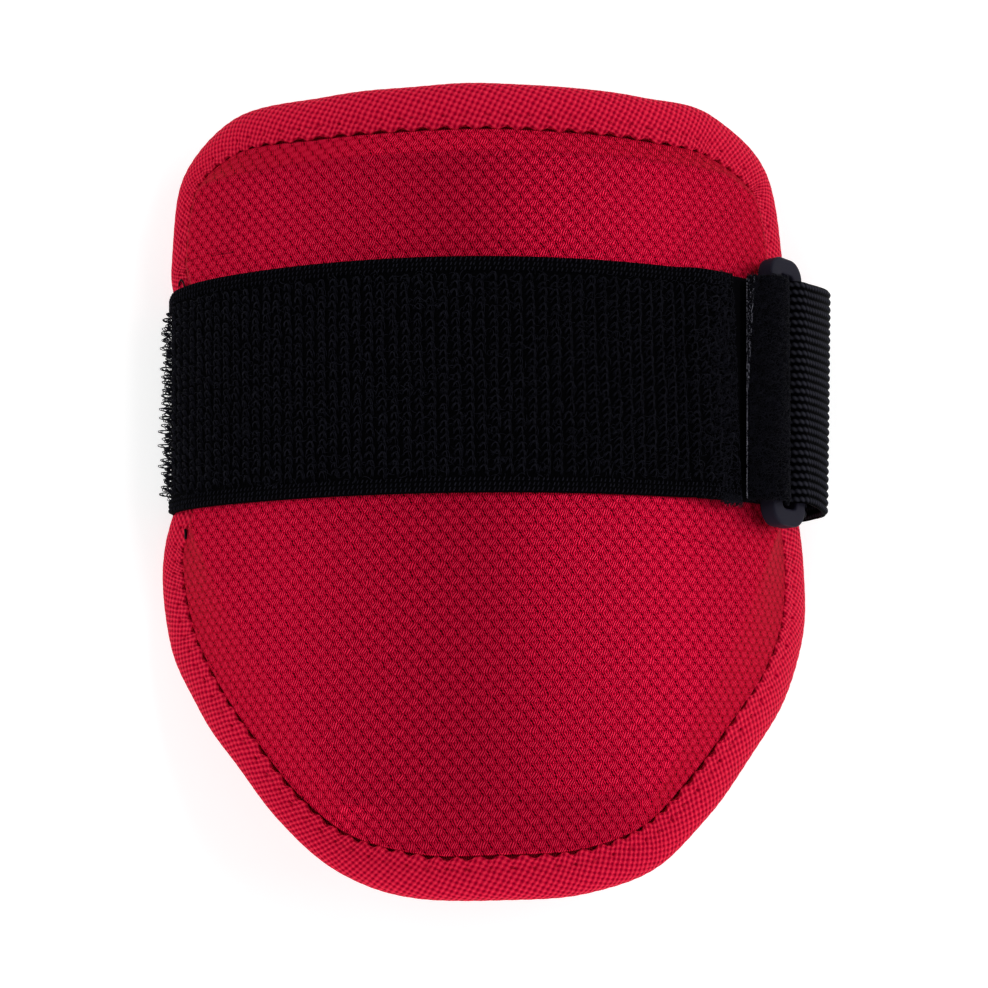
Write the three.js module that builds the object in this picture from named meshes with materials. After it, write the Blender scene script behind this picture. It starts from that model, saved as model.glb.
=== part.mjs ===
// Batter's elbow guard: a padded curved shell with a bound rim, a wide elastic strap brought
// across its front, and a plastic ring held in webbing at the other edge.
// Millimetres, +Z up. The guard lies on its hollow side: +Y towards its upper arm end, +Z out of its front.

import * as THREE from 'three';

// Driving dimensions
const BEND_RADIUS = 90;       // the guard is bent round a straight axis, measured at the middle of the rim
const BEND_TOP = 37.2;        // height of that bend above the table, along the middle of the guard
const RIM_COLUMNS = 112;      // columns round the rim, shared by the pad and its binding

const TAPE_LEG = 9.4;         // how far the folded binding reaches in from the rim, front and back
const TAPE_THICKNESS = 1;
const PINCH = 1.9;            // half the thickness of the pad where the binding pinches it
const GAP = 0.3;              // clearance between neighbouring pieces

const PAD_FRONT = 6.5;        // raised front of the pad above the bend
const PAD_BACK = -3.2;        // padded back below it

const STRAP_WIDTH = 50.8;     // a two inch strap
const STRAP_UP = 21;          // its middle line, above the middle of the guard
const STRAP_SLANT = -0.01;    // it falls a little towards the ring
const ELASTIC_THICKNESS = 1.6;
const TAB_THICKNESS = 1.4;
const WEBBING_THICKNESS = 1.3;
const STATION_STEP = 2;       // distance between cross sections along a strap
const RING_TURN = 0.05;       // the ring, and the straps through it, lie turned a little in their plane
const TURN_HEIGHT = 6;        // a strap has this turn from here outward, and none where it reaches the bend

const RING = {
  length: 60,
  width: 11.8,
  slotLength: 52.6,
  slotWidth: 5,
  thickness: 4,
  corner: 4.2,
  slotCorner: 1.2,
  edge: 0.6,
  along: 64.2,                // its middle, measured round the bend
  height: 10.7,               // and off the bend
  tilt: THREE.MathUtils.degToRad(43),
};

// The rim, laid flat, from the top middle down to the bottom middle. The padding is hand sewn
// and its two sides differ a little.
// right, left: distance from the centre line round the bend, up: along the axis,
// bevel: width of the slope between the binding and the raised front.
const RIM_ROWS = [
  { right: 0, left: 0, up: 87.2, bevel: 8 },
  { right: 17.3, left: 17.3, up: 86.9, bevel: 7.5 },
  { right: 35.6, left: 35.6, up: 86.6, bevel: 7 },
  { right: 56, left: 58, up: 85.4, bevel: 6 },
  { right: 74.6, left: 75.3, up: 75, bevel: 5 },
  { right: 80.1, left: 80.4, up: 53.8, bevel: 5 },
  { right: 78.9, left: 78.7, up: 32.7, bevel: 5 },
  { right: 78.6, left: 78, up: 15.6, bevel: 5 },
  { right: 81, left: 79.8, up: 0, bevel: 5 },
  { right: 84.5, left: 84.1, up: -16.8, bevel: 5.5 },
  { right: 82.2, left: 80.2, up: -33.7, bevel: 6.5 },
  { right: 73, left: 70.2, up: -48.2, bevel: 8 },
  { right: 61, left: 59.2, up: -60, bevel: 8 },
  { right: 48.3, left: 47.9, up: -72, bevel: 7.5 },
  { right: 34.3, left: 33.8, up: -82.8, bevel: 8 },
  { right: 17.5, left: 17.4, up: -87.9, bevel: 10.5 },
  { right: 0, left: 0, up: -88.6, bevel: 11 },
];

// The pad's section, from the middle of its front out to the rim and back in behind.
// reach: share of the way out from the middle, inset: distance in from the rim,
// bevels: how many bevel widths are added to it, height: off the bend.
const FRONT_INSET = TAPE_LEG + 3.5;
const BACK_INSET = TAPE_LEG + 4;
const PAD_ROWS = [
  { reach: 0.2, inset: FRONT_INSET, bevels: 1, height: PAD_FRONT },
  { reach: 0.4, inset: FRONT_INSET, bevels: 1, height: PAD_FRONT },
  { reach: 0.6, inset: FRONT_INSET, bevels: 1, height: PAD_FRONT },
  { reach: 0.8, inset: FRONT_INSET, bevels: 1, height: PAD_FRONT },
  { reach: 1, inset: FRONT_INSET, bevels: 1, height: PAD_FRONT },
  { reach: 1, inset: TAPE_LEG, bevels: 1, height: 6.25 },
  { reach: 1, inset: TAPE_LEG, bevels: 0.7, height: 5.8 },
  { reach: 1, inset: TAPE_LEG, bevels: 0.35, height: 4.2 },
  { reach: 1, inset: TAPE_LEG, bevels: 0, height: PINCH },
  { reach: 1, inset: 2.5, bevels: 0, height: PINCH },
  { reach: 1, inset: TAPE_THICKNESS + GAP, bevels: 0, height: 0 },
  { reach: 1, inset: 2.5, bevels: 0, height: -PINCH },
  { reach: 1, inset: TAPE_LEG, bevels: 0, height: -PINCH },
  { reach: 1, inset: BACK_INSET, bevels: 0, height: PAD_BACK },
  { reach: 0.8, inset: BACK_INSET, bevels: 0, height: PAD_BACK },
  { reach: 0.6, inset: BACK_INSET, bevels: 0, height: PAD_BACK },
  { reach: 0.4, inset: BACK_INSET, bevels: 0, height: PAD_BACK },
  { reach: 0.2, inset: BACK_INSET, bevels: 0, height: PAD_BACK },
];

// The folded tape's section: its outside from the front leg round to the back leg, then its inside.
const TAPE_INSIDE = PINCH + GAP;
const TAPE_OUTSIDE = TAPE_INSIDE + TAPE_THICKNESS;
const TAPE_ROWS = [
  { inset: TAPE_LEG, height: TAPE_OUTSIDE },
  { inset: 3, height: TAPE_OUTSIDE },
  { inset: 0.9, height: 2.2 },
  { inset: 0, height: 0 },
  { inset: 0.9, height: -2.2 },
  { inset: 3, height: -TAPE_OUTSIDE },
  { inset: TAPE_LEG, height: -TAPE_OUTSIDE },
  { inset: TAPE_LEG, height: -TAPE_INSIDE },
  { inset: 3, height: -TAPE_INSIDE },
  { inset: 1.6, height: -1.4 },
  { inset: TAPE_THICKNESS, height: 0 },
  { inset: 1.6, height: 1.4 },
  { inset: 3, height: TAPE_INSIDE },
  { inset: TAPE_LEG, height: TAPE_INSIDE },
];

// Middle lines of the straps in the bend's own measure: along it, and height off it.
const STRAP_PATH = [
  { along: -52, height: -4.4 },
  { along: -62, height: -4.4 },
  { along: -74, height: -4.4 },
  { along: -78.4, height: -4.8 },
  { along: -80.8, height: -4.6 },
  { along: -82.8, height: -2.4 },
  { along: -82.2, height: 1 },
  { along: -80, height: 3.6 },
  { along: -76, height: 5.4 },
  { along: -70, height: 6.8 },
  { along: -62, height: 7.7 },
  { along: -45, height: 7.7 },
  { along: -20, height: 7.7 },
  { along: 5, height: 7.7 },
  { along: 34, height: 7.7 },
  { along: 39, height: 8 },
  { along: 43, height: 9.4 },
  { along: 52, height: 9.4 },
];

const TAB_PATH = [
  { along: 43.5, height: 7.6 },
  { along: 50, height: 7.6 },
  { along: 57, height: 7.6 },
  { along: 60, height: 7.5 },
  { along: 62, height: 7.6 },
  { along: 63.2, height: 8.8 },
  { along: 63.4, height: 11 },
  { along: 63, height: 13.4 },
  { along: 61, height: 14.4 },
  { along: 59, height: 14.2 },
  { along: 57.3, height: 13.1 },
  { along: 56.1, height: 11.7 },
  { along: 55.1, height: 10.4 },
];

const WEBBING_PATH = [
  { along: 82.9, height: 2.2 },
  { along: 81.9, height: 4.6 },
  { along: 79, height: 6.4 },
  { along: 73, height: 6.9 },
  { along: 68, height: 7.15 },
  { along: 66, height: 7.8 },
  { along: 65.35, height: 10.2 },
  { along: 65.5, height: 13 },
  { along: 67.2, height: 14.2 },
  { along: 69.8, height: 14 },
  { along: 74.1, height: 13.3 },
  { along: 80.2, height: 11.4 },
  { along: 83.1, height: 8.5 },
  { along: 84.8, height: 5 },
  { along: 84.7, height: 1.2 },
  { along: 82.7, height: -2 },
  { along: 80.4, height: -4.6 },
  { along: 75, height: -4.2 },
  { along: 65, height: -4.2 },
  { along: 54, height: -4.2 },
];

// A point given along the bend, along the axis and off the bend. Cloth that would reach
// below the table is pressed flat on it.
function onBend(along, up, height) {
  const angle = along / BEND_RADIUS;
  const radius = BEND_RADIUS + height;
  const x = radius * Math.sin(angle);
  const z = radius * Math.cos(angle) - BEND_RADIUS + BEND_TOP;
  return new THREE.Vector3(x, up, Math.max(z, 0));
}

// A closed mesh from points and triangles.
function solid(points, triangles) {
  const geometry = new THREE.BufferGeometry().setFromPoints(points);
  geometry.setIndex(triangles);
  geometry.computeVertexNormals();
  return geometry;
}

function namedMesh(name, geometry, color, roughness) {
  const material = new THREE.MeshStandardMaterial({ color, roughness, metalness: 0 });
  const mesh = new THREE.Mesh(geometry, material);
  mesh.name = name;
  return mesh;
}

// The whole rim as evenly spaced columns: place, inward direction and bevel width.
function rimColumns() {
  const rightSide = RIM_ROWS.map((row) => new THREE.Vector3(row.right, row.up, row.bevel));
  const leftSide = RIM_ROWS.map((row) => new THREE.Vector3(-row.left, row.up, row.bevel));
  const places = [...rightSide, ...leftSide.slice(1, -1).reverse()];
  const curve = new THREE.CatmullRomCurve3(places, true, 'centripetal');
  const spaced = curve.getSpacedPoints(RIM_COLUMNS).slice(0, RIM_COLUMNS);
  return spaced.map((point, i) => {
    const before = spaced.at(i - 1);
    const after = spaced[(i + 1) % RIM_COLUMNS];
    const inward = new THREE.Vector2(after.y - before.y, before.x - after.x).normalize();
    return { out: point.x, up: point.y, bevel: point.z, inward };
  });
}

// Joins ring after ring of equal length with quads; the rings run round the rim.
function bandTriangles(rings, columns, firstPoint = 0) {
  const triangles = [];
  for (let ring = 0; ring < rings; ring += 1) {
    for (let i = 0; i < columns; i += 1) {
      const a = firstPoint + ring * columns + i;
      const b = firstPoint + ring * columns + ((i + 1) % columns);
      triangles.push(a, b, b + columns, a, b + columns, a + columns);
    }
  }
  return triangles;
}

// The pad: rings run from the middle of the front out to the pinched rim and back in behind.
function padGeometry(columns) {
  const points = [onBend(0, 0, PAD_FRONT)];
  for (const row of PAD_ROWS) {
    for (const column of columns) {
      const inset = row.inset + row.bevels * column.bevel;
      const out = (column.out + column.inward.x * inset) * row.reach;
      const up = (column.up + column.inward.y * inset) * row.reach;
      points.push(onBend(out, up, row.height));
    }
  }
  const backMiddle = points.push(onBend(0, 0, PAD_BACK)) - 1;
  const count = columns.length;
  const triangles = bandTriangles(PAD_ROWS.length - 1, count, 1);
  const lastRing = 1 + (PAD_ROWS.length - 1) * count;
  for (let i = 0; i < count; i += 1) {
    const next = (i + 1) % count;
    triangles.push(0, 1 + next, 1 + i);
    triangles.push(backMiddle, lastRing + i, lastRing + next);
  }
  return solid(points, triangles);
}

// The binding: the folded tape's section, a U that grips the rim, carried right round it.
function bindingGeometry(columns) {
  const points = [];
  for (const { inset, height } of TAPE_ROWS) {
    for (const { out, up, inward } of columns) {
      points.push(onBend(out + inward.x * inset, up + inward.y * inset, height));
    }
  }
  const triangles = bandTriangles(TAPE_ROWS.length, columns.length);
  return solid(points, triangles.map((index) => index % points.length));
}

// A flat strap of even thickness whose middle line is bent as the rows of its path say.
// turn: how far its upper edge is ahead of its lower edge, as a share of its width.
function strapGeometry(path, thickness, turn = 0) {
  const rows = path.map((row) => new THREE.Vector3(row.along, row.height, 0));
  const curve = new THREE.CatmullRomCurve3(rows, false, 'centripetal');
  const steps = Math.round(curve.getLength() / STATION_STEP);
  const line = curve.getSpacedPoints(steps);
  const points = [];
  line.forEach((point, i) => {
    const ahead = line[Math.min(i + 1, steps)];
    const behind = line[Math.max(i - 1, 0)];
    const across = new THREE.Vector3(behind.y - ahead.y, ahead.x - behind.x, 0).setLength(thickness / 2);
    const twist = turn * THREE.MathUtils.clamp(point.y / TURN_HEIGHT, 0, 1);
    for (const [side, edge] of [[1, 1], [1, -1], [-1, -1], [-1, 1]]) {
      const offset = edge * STRAP_WIDTH / 2;
      const along = point.x + side * across.x + twist * offset;
      const height = point.y + side * across.y;
      const up = STRAP_UP + STRAP_SLANT * point.x + offset;
      points.push(onBend(along, up, height));
    }
  });
  const last = 4 * steps;
  const triangles = bandTriangles(steps, 4);
  triangles.push(0, 2, 1, 0, 3, 2);
  triangles.push(last, last + 1, last + 2, last, last + 2, last + 3);
  return solid(points, triangles);
}

// The ring: a rectangular loop with rounded ends and softened edges.
function roundedRectangle(path, width, length, radius) {
  const x = width / 2;
  const y = length / 2;
  path.moveTo(x, y - radius);
  path.absarc(x - radius, y - radius, radius, 0, Math.PI / 2);
  path.absarc(radius - x, y - radius, radius, Math.PI / 2, Math.PI);
  path.absarc(radius - x, radius - y, radius, Math.PI, 1.5 * Math.PI);
  path.absarc(x - radius, radius - y, radius, 1.5 * Math.PI, 2 * Math.PI);
  return path;
}

function ringMesh() {
  const shape = roundedRectangle(new THREE.Shape(), RING.width, RING.length, RING.corner);
  shape.holes.push(roundedRectangle(new THREE.Path(), RING.slotWidth, RING.slotLength, RING.slotCorner));
  const geometry = new THREE.ExtrudeGeometry(shape, {
    depth: RING.thickness - 2 * RING.edge,
    bevelEnabled: true,
    bevelThickness: RING.edge,
    bevelSize: RING.edge,
    bevelOffset: -RING.edge,
    bevelSegments: 2,
    curveSegments: 5,
  });
  geometry.translate(0, 0, RING.edge - RING.thickness / 2);
  const mesh = namedMesh('ring', geometry, '#232127', 0.45);
  mesh.position.copy(onBend(RING.along, STRAP_UP + STRAP_SLANT * RING.along, RING.height));
  mesh.rotation.set(0, RING.tilt, -RING_TURN);
  return mesh;
}

// The whole guard, moved so that the origin is at the bottom middle of its box.
const columns = rimColumns();
const guard = new THREE.Group();
guard.add(
  namedMesh('pad', padGeometry(columns), '#ab0c2c', 0.75),
  namedMesh('binding', bindingGeometry(columns), '#b80f32', 0.7),
  namedMesh('strap', strapGeometry(STRAP_PATH, ELASTIC_THICKNESS), '#0b0a0d', 0.9),
  namedMesh('hook_tab', strapGeometry(TAB_PATH, TAB_THICKNESS, RING_TURN), '#0e0d12', 0.95),
  ringMesh(),
  namedMesh('ring_webbing', strapGeometry(WEBBING_PATH, WEBBING_THICKNESS, RING_TURN), '#17161b', 0.8),
);
const box = new THREE.Box3().setFromObject(guard, true);
const middle = box.getCenter(new THREE.Vector3());
guard.position.set(-middle.x, -middle.y, -box.min.z);
guard.updateMatrixWorld(true);

export default guard;
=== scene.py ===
# Batter's elbow guard, lying face up on a pale floor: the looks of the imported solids.
# Sizes are in millimetres until a mesh is made. Places on the guard are given as on the flat
# pattern: along the bend (to the right), up the straight axis, and height off the bend.
import math
from math import pi

import bpy
import numpy as np
from mathutils import Matrix, Vector


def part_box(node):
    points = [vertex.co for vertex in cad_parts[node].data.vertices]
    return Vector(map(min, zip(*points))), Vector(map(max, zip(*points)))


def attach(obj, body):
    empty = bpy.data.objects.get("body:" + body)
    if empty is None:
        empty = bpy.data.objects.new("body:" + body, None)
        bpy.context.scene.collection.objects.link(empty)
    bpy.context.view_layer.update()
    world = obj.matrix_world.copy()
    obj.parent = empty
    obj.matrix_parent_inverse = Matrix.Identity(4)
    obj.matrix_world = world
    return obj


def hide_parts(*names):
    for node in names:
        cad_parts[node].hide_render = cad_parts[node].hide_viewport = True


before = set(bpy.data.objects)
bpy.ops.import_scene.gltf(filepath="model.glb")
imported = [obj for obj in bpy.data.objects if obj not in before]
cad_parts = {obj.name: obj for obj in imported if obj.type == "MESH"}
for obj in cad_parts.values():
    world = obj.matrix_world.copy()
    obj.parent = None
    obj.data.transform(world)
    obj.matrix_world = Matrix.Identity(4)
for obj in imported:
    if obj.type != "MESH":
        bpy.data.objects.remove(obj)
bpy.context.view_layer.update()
mm = 0.001
print("frame loaded:", ", ".join(sorted(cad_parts)))

bend = {"radius": 90.0, "top": 37.2}  # the curve that the guard is bent to
stitchLength = 4.55  # of the seam through the cover and its binding
strap = {
    "width": 50.8, "up": 21.0, "slant": -0.01,  # a two inch strap, and how it lies
    "nip": 1.8,  # how far it presses the left rim in,
    "nipLow": (-10, 2), "nipHigh": (53, 42),  # and where up the rim that sets in and is full
    "leftRim": (-72, -80), "rightRim": (68, 82),  # where along the bend straps round the rims
    "turnHeight": 6,  # a turned strap has its whole turn from here outward
    "lineSteps": 400,
}
ring = {
    "length": 61.2, "width": 11.8, "corner": 4.2,
    "slotLength": 53.4, "slotWidth": 5.0, "slotCorner": 1.2,
    "thickness": 4.0, "along": 64.2, "height": 10.7, "tilt": math.radians(43),
    "power": 0.24,  # of the section, lower is squarer
    "turn": 0.05,  # the ring, and the straps through it, lie turned a little in their plane
    "arcSteps": 14, "sectionSteps": 40,
}


# A point wrapped on the bend: the angle is the way along over the radius, and cloth that
# would reach under the floor is pressed flat on it.
def bendPoint(along, up, height):
    angle = along / bend["radius"]
    reach = bend["radius"] + height
    z = reach * np.cos(angle) - bend["radius"] + bend["top"]
    return np.stack(np.broadcast_arrays(reach * np.sin(angle), up, np.maximum(z, 0)), axis=-1)


# The matrix of a turn about one axis.
def turned(axis, angle):
    i, j = ((1, 2), (2, 0), (0, 1))[axis]
    matrix = np.eye(3)
    matrix[i, i] = matrix[j, j] = math.cos(angle)
    matrix[i, j], matrix[j, i] = -math.sin(angle), math.sin(angle)
    return matrix


# The solids are centred over the origin, and the ring's place tells by how much.
ringUp = strap["up"] + strap["slant"] * ring["along"]
ringBox = np.array([list(corner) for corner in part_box("ring")]) / mm
guardShift = ringBox.mean(axis=0) - bendPoint(ring["along"], ringUp, ring["height"])
guardShift[2] = 0


def onGuard(along, up, height):
    return (bendPoint(along, up, height) + guardShift) * mm


# From 0 to 1 between two values, level at both: three times the square less twice the cube.
def smoothStep(low, high, value):
    t = np.clip((value - low) / (high - low), 0, 1)
    return t * t * (3 - 2 * t)


# The unit way square to each step, to its right.
def rightOf(step):
    way = np.stack([step[:, 1], -step[:, 0]], axis=1)
    return way / np.linalg.norm(way, axis=1, keepdims=True)


curveSteps = 48  # points worked out between two given ones


# A smooth curve through points: centripetal Catmull-Rom, where each stretch is a cubic whose end
# slopes come from its neighbours weighted by the root of their distance, then even steps of length.
def smoothThrough(points, count, closed=False):
    points = np.asarray(points, float)
    if closed:
        chain = np.concatenate([points[-1:], points, points[:2]])
    else:
        chain = np.concatenate([2 * points[:1] - points[1:2], points, 2 * points[-1:] - points[-2:-1]])
    p0, p1, p2, p3 = chain[:-3], chain[1:-2], chain[2:-1], chain[3:]
    d0, d1, d2 = (np.linalg.norm(b - a, axis=1)[:, None] ** 0.5 for a, b in ((p0, p1), (p1, p2), (p2, p3)))
    slope1 = ((p1 - p0) / d0 - (p2 - p0) / (d0 + d1) + (p2 - p1) / d1) * d1
    slope2 = ((p2 - p1) / d1 - (p3 - p1) / (d1 + d2) + (p3 - p2) / d2) * d1
    t = np.linspace(0, 1, curveSteps, endpoint=False)[:, None, None]
    curve = (
        (2 * t ** 3 - 3 * t ** 2 + 1) * p1 + (t ** 3 - 2 * t ** 2 + t) * slope1
        + (3 * t ** 2 - 2 * t ** 3) * p2 + (t ** 3 - t ** 2) * slope2
    )
    curve = np.concatenate([curve.transpose(1, 0, 2).reshape(-1, points.shape[1]), p2[-1:]])
    gone = np.concatenate([[0], np.cumsum(np.linalg.norm(np.diff(curve, axis=0), axis=1))])
    even = np.linspace(0, gone[-1], count + 1)
    spaced = np.stack([np.interp(even, gone, column) for column in curve.T], axis=1)
    return (spaced[:-1] if closed else spaced), gone[-1]


# The cells of a grid numbered row by row, and the same cells on a map that doesn't close on itself.
def gridFaces(rows, columns, closeRows=False, closeColumns=False):
    r, c = np.meshgrid(
        np.arange(rows - 1 + closeRows), np.arange(columns - 1 + closeColumns), indexing="ij"
    )
    r1, c1 = (r + 1) % rows, (c + 1) % columns
    wide = columns + closeColumns
    faces = np.stack([r * columns + c, r * columns + c1, r1 * columns + c1, r1 * columns + c], axis=-1)
    cells = np.stack([r * wide + c, r * wide + c + 1, (r + 1) * wide + c + 1, (r + 1) * wide + c], axis=-1)
    return faces.reshape(-1, 4), cells.reshape(-1, 4)


# Points in metres and faces become a piece on the root body. Its weave map holds millimetres.
# Faces round a negative volume look inwards, and are turned over.
def makePiece(name, points, faces, material, node=None, weave=None, cells=None):
    points = points.reshape(-1, 3)
    volume = sum((points[f[:, 0]] * np.cross(points[f[:, k]], points[f[:, k + 1]])).sum()
                 for f in faces for k in range(1, f.shape[1] - 1))
    if volume < 0:
        faces = [f[:, ::-1] for f in faces]
        cells = None if cells is None else [f[:, ::-1] for f in cells]
    loops = np.concatenate([f.ravel() for f in faces])
    sizes = np.concatenate([np.full(len(f), f.shape[1]) for f in faces])
    mesh = bpy.data.meshes.new(name)
    mesh.vertices.add(len(points))
    mesh.loops.add(len(loops))
    mesh.polygons.add(len(sizes))
    mesh.vertices.foreach_set("co", points.astype(np.float32).ravel())
    mesh.loops.foreach_set("vertex_index", loops.astype(np.int32))
    mesh.polygons.foreach_set("loop_start", (np.cumsum(sizes) - sizes).astype(np.int32))
    mesh.update(calc_edges=True)
    if weave is not None:
        corners = np.concatenate([f.ravel() for f in (faces if cells is None else cells)])
        layer = mesh.uv_layers.new(name="weave")
        layer.uv.foreach_set("vector", weave.reshape(-1, 2)[corners].astype(np.float32).ravel())
    mesh.validate()
    mesh.shade_smooth()
    mesh.materials.append(material)
    piece = bpy.data.objects.new(name, mesh)
    bpy.context.scene.collection.objects.link(piece)
    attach(piece, "root")
    if node:
        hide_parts(node)
    print(name, len(points), "points,", int((sizes - 2).sum()), "triangles")
    return piece


tiny = 1e-15  # keeps lengths that are divided by from being nothing
straight = 1e-4  # a path that bows less than this share of its chord has no plane of its own,
anyWay = (0.3, 0.5, 0.8)  # and takes the plane through itself and this way


# Many round strands as one piece: rings of points square to each path, capped at both ends.
def makeStrands(name, paths, yarn, material):
    radius = np.reshape(yarn["radius"], (-1, 1)) * mm
    sides = yarn["sides"]
    ahead = np.gradient(paths, axis=1)
    ahead /= np.linalg.norm(ahead, axis=2, keepdims=True) + tiny
    chord = paths[:, -1] - paths[:, 0]
    plane = np.cross(chord, paths[:, paths.shape[1] // 2] - paths[:, 0])
    flat = np.linalg.norm(plane, axis=1) < straight * np.linalg.norm(chord, axis=1) ** 2
    plane[flat] = np.cross(chord[flat], anyWay)
    plane /= np.linalg.norm(plane, axis=1, keepdims=True) + tiny
    one = np.cross(ahead, plane[:, None, :])
    one /= np.linalg.norm(one, axis=2, keepdims=True) + tiny
    two = np.cross(ahead, one)
    turn = np.linspace(0, 2 * pi, sides, endpoint=False)
    around = np.cos(turn)[:, None] * one[:, :, None, :] + np.sin(turn)[:, None] * two[:, :, None, :]
    points = paths[:, :, None, :] + around * np.broadcast_to(radius, paths.shape[:2])[:, :, None, None]
    count, steps = paths.shape[:2]
    faces = gridFaces(steps, sides, closeColumns=True)[0]
    start = (np.arange(count) * steps * sides)[:, None]
    quads = (start[:, :, None] + faces).reshape(-1, 4)
    caps = np.concatenate([start + np.arange(sides)[::-1], start + (steps - 1) * sides + np.arange(sides)])
    return makePiece(name, points, [quads, caps], material)


# An sRGB hex colour as linear light.
def linear(hexColour):
    srgb = np.array([int(hexColour[k:k + 2], 16) for k in (1, 3, 5)]) / 255
    light = np.where(srgb <= 0.04045, srgb / 12.92, ((srgb + 0.055) / 1.055) ** 2.4)
    return (*light.tolist(), 1.0)


# Adds a shader node: its settings by name, its inputs as values, sockets or nodes.
def addNode(tree, kind, inputs=None, **settings):
    node = tree.nodes.new("ShaderNode" + kind)
    for key, value in settings.items():
        setattr(node, key, value)
    for key, value in (inputs or {}).items():
        if isinstance(value, bpy.types.Node):
            value = value.outputs[0]
        if isinstance(value, bpy.types.NodeSocket):
            tree.links.new(value, node.inputs[key])
        else:
            node.inputs[key].default_value = value
    return node


def newMaterial(name, values):
    material = bpy.data.materials.new(name)
    material.use_nodes = True
    tree = material.node_tree
    shader = tree.nodes["Principled BSDF"]
    for key, value in values.items():
        shader.inputs[key].default_value = value
    return material, tree, shader


# A value worked out from others, in the node tree that they belong to.
def worked(operation, *values):
    tree = next(value.id_data for value in values if hasattr(value, "id_data"))
    return addNode(tree, "Math", dict(enumerate(values)), operation=operation)


# A value brought from one range to another.
def ranged(value, source, target=(0, 1), **settings):
    return addNode(value.id_data, "MapRange", dict(enumerate((value, *source, *target))), **settings)


# Colours the shader by a value, through stops of position and colour.
def colourBy(tree, shader, value, stops):
    ramp = addNode(tree, "ValToRGB", {0: value})
    elements = ramp.color_ramp.elements
    for element, (position, colour) in zip(elements, (stops[0], stops[-1])):
        element.position = position
        element.color = linear(colour)
    for position, colour in stops[1:-1]:
        elements.new(position).color = linear(colour)
    tree.links.new(ramp.outputs[0], shader.inputs["Base Color"])


# Raises the shader's surface by a value, up to so many millimetres.
def raiseBy(tree, shader, value, deep, strength=1.0):
    bump = addNode(tree, "Bump", {"Height": value, "Strength": strength, "Distance": deep * mm})
    tree.links.new(bump.outputs[0], shader.inputs["Normal"])


# The weave map, and its two ways after a slow noise has pulled the cloth about.
def pulledWeave(tree, waves, detail, strength):
    place = addNode(tree, "UVMap", uv_map="weave")
    uneven = addNode(tree, "TexNoise", {0: place, "Scale": waves, "Detail": detail})
    middle = (0.5, 0.5, 0.5)
    nudge = addNode(tree, "VectorMath", {0: uneven.outputs["Color"], 1: middle}, operation="SUBTRACT")
    pull = addNode(tree, "VectorMath", {0: nudge, "Scale": strength}, operation="SCALE")
    pulled = addNode(tree, "VectorMath", {0: place, 1: pull}, operation="ADD")
    return place, addNode(tree, "SeparateXYZ", {0: pulled}).outputs


# Materials

knit = {
    "cellAcross": 1.44, "cellUp": 1.56,  # a cell of parallel strokes; slits are two cells apart each way
    "strokes": 3.0, "lean": 0.48,  # strokes in a cell, and their lean as a share of its width
    "pull": (0.35, 2.0, 0.9),  # waves in a millimetre of the uneven pull, its detail and strength
    "change": 0.2,  # how softly strokes change from one lean to the other
    "under": 0.84, "ends": 0.62,  # height of strokes that lean left, and of each stroke's ends
    "full": 0.16,  # hump at which a stroke has its full height
    "slit": (0.072, 0.234),  # from the middle of a slit to its soft side
    "slitEnds": (0.09, 0.18),  # humps between which a slit opens
    "strand": (0.215, 0.245), "left": 0.15,  # humps where a strand crosses it, and what stays open
    "body": 0.75, "hair": 0.3, "least": 0.1,  # strokes and fibres in the relief, and its least
    "fibre": 0.3, "relief": 0.05,
}


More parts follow.
